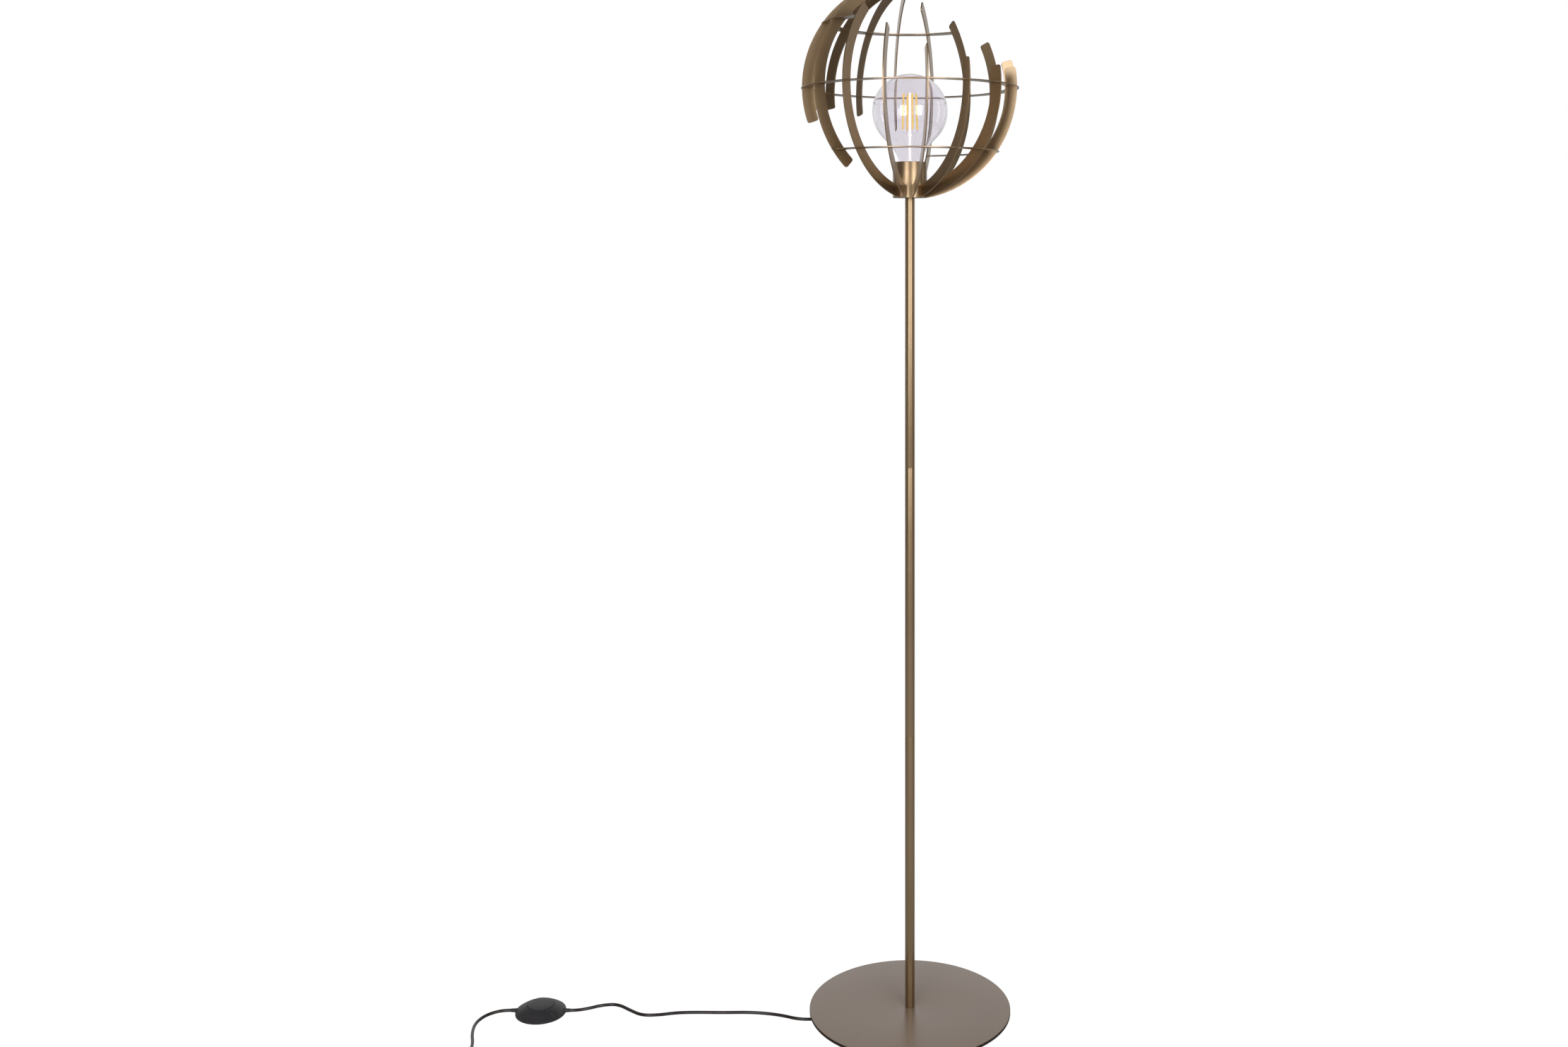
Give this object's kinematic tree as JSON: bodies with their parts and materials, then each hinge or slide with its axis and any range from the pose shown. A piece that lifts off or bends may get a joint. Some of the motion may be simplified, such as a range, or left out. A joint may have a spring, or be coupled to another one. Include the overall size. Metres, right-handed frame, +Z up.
{
  "type": "floor lamp",
  "caption": "Floor lamp with a flat round base, a thin tube pole and a ball-shaped open cage of flat ribs and rings around a globe bulb, with a push foot switch on its cord.",
  "frame": {"origin": "on the floor, on the pole's axis, at the middle of the base", "axes": "+Z up along the pole; -Y towards the viewer of the picture, +X to that viewer's right; the cord leaves the base towards -X"},
  "size_m": [0.8951, 0.4202, 1.7196],
  "materials": {
    "brass_paint": "satin",
    "zinc_steel": "satin",
    "black_plastic": "satin",
    "white_ceramic": "gloss",
    "rubber": "matte",
    "cord_sheath": "gloss",
    "wire_sheath": "matte",
    "contact_brass": "satin",
    "bulb_metal": "polished",
    "clear_glass": "clear",
    "black_glass": "gloss",
    "filament": "matte"
  },
  "bodies": {
    "lamp": {"base_feet": "rubber", "base_plate": "brass_paint", "centre_contact": "contact_brass", "clamp_screws": "zinc_steel", "cord_clamp": "black_plastic", "cord_coil": "cord_sheath", "cord_lamp_side": "cord_sheath", "cord_plug_side": "cord_sheath", "cord_tie": "rubber", "crown_hub": "brass_paint", "cup_nut": "zinc_steel", "cup_washer": "zinc_steel", "lampholder_block": "white_ceramic", "lampholder_cap": "black_plastic", "lampholder_liner": "contact_brass", "lampholder_skirt": "black_plastic", "plug_body": "black_plastic", "plug_pins": "bulb_metal", "pole_inserts": "zinc_steel", "pole_lower": "brass_paint", "pole_middle": "brass_paint", "pole_upper": "brass_paint", "pole_wires": "wire_sheath", "rib_01": "brass_paint", "rib_02": "brass_paint", "rib_03": "brass_paint", "rib_04": "brass_paint", "rib_05": "brass_paint", "rib_06": "brass_paint", "rib_07": "brass_paint", "rib_08": "brass_paint", "rib_09": "brass_paint", "rib_10": "brass_paint", "rib_11": "brass_paint", "rib_12": "brass_paint", "rib_13": "brass_paint", "rib_14": "brass_paint", "rib_15": "brass_paint", "rib_16": "brass_paint", "ring_equator": "brass_paint", "ring_lower": "brass_paint", "ring_upper": "brass_paint", "socket_cup": "brass_paint", "switch_base": "black_plastic", "switch_block": "white_ceramic", "switch_contacts": "contact_brass", "switch_cover": "black_plastic", "switch_reliefs": "rubber", "switch_screws": "zinc_steel", "switch_spring": "zinc_steel", "switch_wires": "wire_sheath", "threaded_nipples": "zinc_steel"},
    "bulb": {"bulb_glass": "clear_glass", "bulb_cap": "bulb_metal", "bulb_insulator": "black_glass", "bulb_contact": "contact_brass", "bulb_stem": "clear_glass", "bulb_filaments": "filament", "bulb_frame": "bulb_metal"},
    "button": {"switch_button": "black_plastic"}
  },
  "joints": [
    {"name": "bulb_unscrew", "type": "slide", "parent": "lamp", "child": "bulb", "axis": [0, 0, 1], "range_m": [0, 0.02]},
    {"name": "switch_button_push", "type": "slide", "parent": "lamp", "child": "button", "axis": [0, 0, -1], "range_m": [0, 0.0025], "stiffness_N_per_m": 1500, "springref_m": -0.002, "deforming": ["switch_spring"]}
  ]
}
